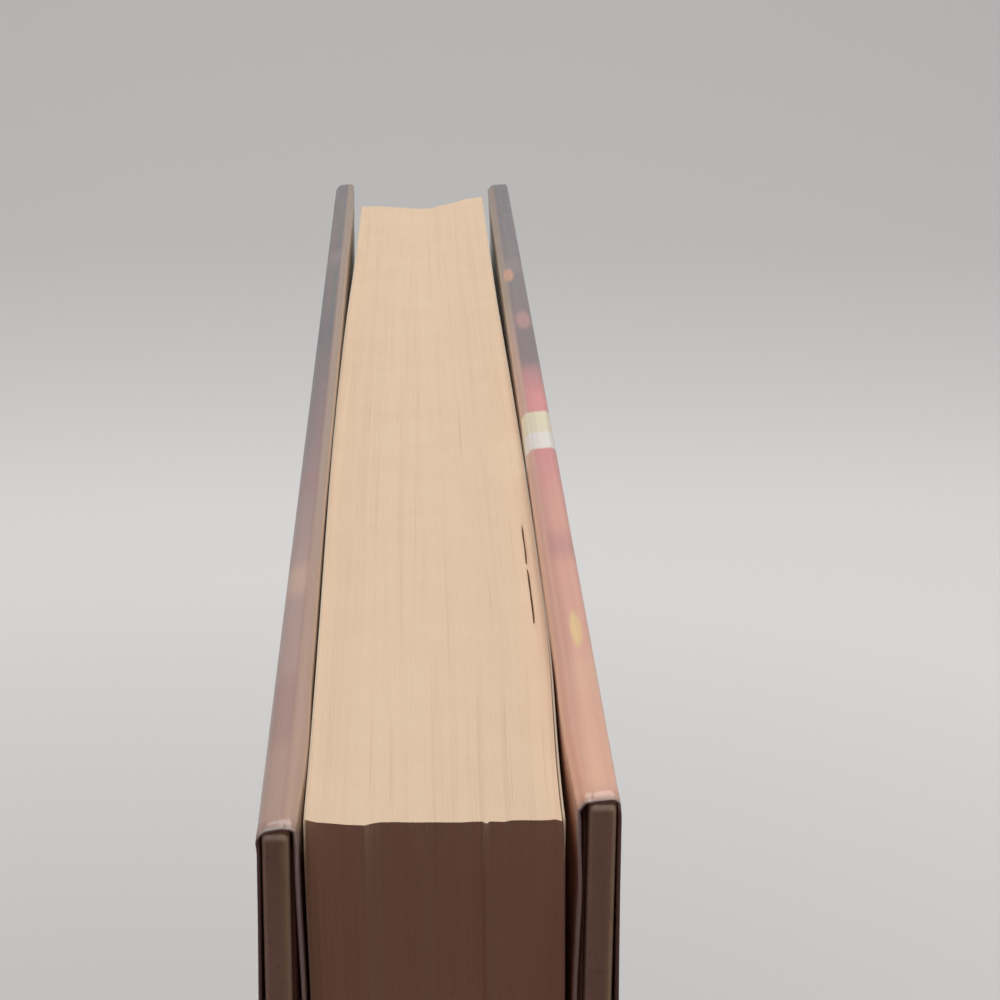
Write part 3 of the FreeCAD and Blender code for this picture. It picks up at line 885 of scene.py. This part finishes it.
bm, row = sheet_start(spine_corner, spine_level, jacket_stations, spine_corner)
row = climb(bm, row)
row = run_to(bm, row, panel_outside, 0.15555, 22)
row = run_to(bm, row, 0.01430, 0.15650, 2)
row = fold(bm, row, 0.01370, 0.15655, 98, 9)
row = run_to(bm, row, 0.01222, 0.15700, 4)
row = run_to(bm, row, 0.01212, 0.15692)
row = run_to(bm, row, 0.01200, 0.15694)
row = fold(bm, row, 0.01195, 0.15630, 40, 4)
row = run_to(bm, row, 0.01130, 0.15640, 2)
row = fold(bm, row, 0.01165, 0.15600, 40, 4)
row = run_to(bm, row, 0.01124, 0.15520, 2)
row = sway_to(bm, row, flap_inside, 0.1480, 6)
row = run_to(bm, row, flap_inside, 0.1080, 12)
row = run_to(bm, row, flap_inside, flap_end, 4)
bow(bm, board_foot, 0.15555)
spring(bm, 0.00014, 0.00048, 0.0)
jacket_finish = [jacket_print, jacket_white]
jacket_back = finish_sheet(bm, "back_jacket_sheet", 1, True, jacket_paper, jacket_finish)
hinge(jacket_back, "back_cover")
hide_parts("jacket_back", "back_jacket_joint")

bm, row = sheet_start(spine_corner, spine_level, jacket_stations, spine_corner)
row = climb(bm, row)
row = run_to(bm, row, panel_outside, 0.15505, 22)
row = run_to(bm, row, 0.01442, 0.15560, 2)
row = fold(bm, row, 0.01330, 0.15590, 90, 10)
row = run_to(bm, row, 0.01240, 0.15722, 3)
row = run_to(bm, row, 0.01225, 0.15712)
row = run_to(bm, row, 0.01212, 0.15716)
row = fold(bm, row, 0.01205, 0.15672, 82, 6)
row = run_to(bm, row, 0.01158, 0.15560, 2)
row = run_to(bm, row, flap_inside, 0.1080, 16)
row = run_to(bm, row, flap_inside, flap_end, 4)
bow(bm, board_foot, 0.15505)
spring(bm, 0.00028, 0.00066, 0.035)
jacket_front = finish_sheet(bm, "front_jacket_sheet", -1, True, jacket_paper, jacket_finish)
hinge(jacket_front, "front_cover")
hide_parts("jacket_front", "front_jacket_joint")

bm, row = sheet_start(-spine_corner, spine_level, jacket_stations, -spine_corner)
row = run_to(bm, row, spine_corner, spine_level, 6)
jacket_spine = finish_sheet(bm, "spine_jacket_sheet", 1, True, jacket_paper, jacket_finish)
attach(jacket_spine, "block")
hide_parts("jacket_spine")


# The table and the backdrop: one pale sweep of paper that curves up far behind the book and lies low enough
# for the covers to hang open over it. Its colour carries painted shade up the curve behind and a painted
# shadow around the book. In front of the book it throws little light back: for all but camera rays it is
# painted dark, as painted shade of whoever holds the camera standing over it. It is clear from below, where
# the spine is looked at.
table = -0.165
sweep_start = 1.037
sweep_radius = 1.258
sweep_front = -1.98
sweep_half = 2.10
sweep_top = 3.35

paper_sweep, tree, shader = new_material("studio_sweep")
here = put(tree, "ShaderNodeTexCoord").outputs["Object"]
colour, height = fibre(tree, here, (0.795, 0.79, 0.785), (0.775, 0.77, 0.765), 0.1)
depth = put(tree, "ShaderNodeSeparateXYZ", {"Vector": here}).outputs["Y"]
# Painted shade: the sweep is darker from where it curves up behind the book.
behind = between(tree, depth, 0.869, 1.306)
colour = blend_colour(tree, behind, colour, (0.625, 0.622, 0.622))
# Painted shadow: the floor is darker around the book and pales with distance from it.
shade_middle = (-0.08, 0.1985, table)
from_book = put(tree, "ShaderNodeVectorMath", {0: here, 1: shade_middle}, operation="DISTANCE")
from_book = between(tree, from_book.outputs["Value"], 0.168, 0.570)
colour = blend_colour(tree, from_book, (0.605, 0.598, 0.591), colour)
# Painted shade: for all but camera rays the floor in front of the book is dark warm brown, so little light
# bounces onto the tail of the book.
seen = put(tree, "ShaderNodeLightPath").outputs["Is Camera Ray"]
lit_side = sums(tree, "MAXIMUM", seen, between(tree, depth, -0.16, -0.10))
colour = blend_colour(tree, lit_side, (0.105, 0.045, 0.040), colour)
tree.links.new(colour, shader.inputs["Base Color"])
shader.inputs["Roughness"].default_value = 0.9
shader.inputs["Specular IOR Level"].default_value = 0.1
rays = put(tree, "ShaderNodeLightPath").outputs
below = put(tree, "ShaderNodeNewGeometry").outputs["Backfacing"]
clear = sums(tree, "MAXIMUM", sums(tree, "MULTIPLY", rays["Is Camera Ray"], below), rays["Is Shadow Ray"])
paper_finish = shader.outputs["BSDF"]
nothing = put(tree, "ShaderNodeBsdfTransparent").outputs["BSDF"]
shown = put(tree, "ShaderNodeMixShader", {0: clear, 1: paper_finish, 2: nothing}).outputs["Shader"]
tree.links.new(shown, tree.nodes["Material Output"].inputs["Surface"])
bm = bmesh.new()
left = bm.verts.new((-sweep_half, sweep_front, table))
right = bm.verts.new((sweep_half, sweep_front, table))
edge = bm.edges.new((left, right))


def unroll(edge, way):
    """Runs the sweep on from its open edge."""
    made = bmesh.ops.extrude_edge_only(bm, edges=[edge])["geom"]
    bmesh.ops.translate(bm, verts=[v for v in made if isinstance(v, bmesh.types.BMVert)], vec=way)
    return next(e for e in made if isinstance(e, bmesh.types.BMEdge))


edge = unroll(edge, (0, sweep_start - sweep_front, 0))
bmesh.ops.spin(
    bm, geom=[*edge.verts, edge], cent=(0, sweep_start, table + sweep_radius), axis=(1, 0, 0),
    angle=math.radians(90), steps=40,
)
bm.edges.ensure_lookup_table()
top = max(bm.edges, key=lambda e: (e.verts[0].co.z + e.verts[1].co.z))
unroll(top, (0, 0, sweep_top))
bmesh.ops.recalc_face_normals(bm, faces=bm.faces[:])
table_top = min(bm.faces, key=lambda f: f.calc_center_median().y)
if table_top.normal.z < 0:
    bmesh.ops.reverse_faces(bm, faces=bm.faces[:])
for face in bm.faces:
    face.smooth = True
sweep = new_piece(bm, "studio_sweep", [paper_sweep])


# The stand: a slab of clear acrylic on the table, which carries the book by its spine. It is narrower than
# the gap between the covers when both hang open.
stand_thick = 0.015
stand_length = 0.190
stand_gap = 0.0002

clear_stand, tree, shader = new_material("clear_stand")
here = put(tree, "ShaderNodeTexCoord").outputs["Object"]
haze = mottle(tree, here, 40.0, 2.0)
tree.links.new(between(tree, haze, 0.3, 0.7, 0.05, 0.12), shader.inputs["Roughness"])
shader.inputs["Base Color"].default_value = (0.85, 0.87, 0.88, 1.0)
shader.inputs["Alpha"].default_value = 0.16
bm = bmesh.new()
bmesh.ops.create_cube(bm, size=1.0)
bmesh.ops.scale(bm, vec=(stand_thick, stand_length, -table - stand_gap), verts=bm.verts[:])
bmesh.ops.translate(bm, verts=bm.verts[:], vec=(0, 0, table / 2 - stand_gap / 2))
stand = new_piece(bm, "clear_stand", [clear_stand])


# The light: a large soft box overhead and a little behind, a long one far out on each side, one under the
# table that lights the spine, and a weak warm glow from the room in front. The room itself is dim, and is
# paler only where the camera looks past the edge of the paper.
def soft_box(name, place, target, width, height, power, colour):
    """A rectangular lamp at a place, turned to its target."""
    lamp = bpy.data.lights.new(name, "AREA")
    lamp.shape = "RECTANGLE"
    lamp.size = width
    lamp.size_y = height
    lamp.energy = power
    lamp.color = colour
    stand = bpy.data.objects.new(name, lamp)
    scene.collection.objects.link(stand)
    stand.visible_camera = False
    stand.matrix_world = Matrix.Translation(place) @ (
        (Vector(target) - Vector(place)).to_track_quat("-Z", "Y").to_matrix().to_4x4()
    )
    return stand


soft_box("key_light", (0.069, 0.467, 1.932), (0.0, 0.40, table), 1.84, 1.51, 34.6, (1.0, 0.99, 0.975))
soft_box("spine_light", (0.0, 0.1, -1.06), (0.0, 0.05, 0.0), 1.0, 0.3, 5.6, (1.0, 0.99, 0.98))
soft_box("left_fill", (-2.18, 0.45, 0.84), (0.0, 0.05, 0.05), 2.0, 0.84, 9.0, (1.0, 0.99, 0.98))
soft_box("right_fill", (2.18, 0.45, 0.84), (0.0, 0.05, 0.05), 2.0, 0.84, 9.0, (1.0, 0.99, 0.98))
soft_box("front_glow", (-0.2, -1.6, 0.6), (0.0, 0.0, 0.1), 1.0, 0.6, 1.20, (1.0, 0.37, 0.36))
world = bpy.data.worlds.new("studio")
scene.world = world
world.use_nodes = True
room = world.node_tree
room.nodes["Background"].inputs["Color"].default_value = (0.96, 0.96, 1.0, 1.0)
seen = put(room, "ShaderNodeLightPath").outputs["Is Camera Ray"]
room.links.new(between(room, seen, 0.0, 1.0, 0.06, 0.52), room.nodes["Background"].inputs["Strength"])
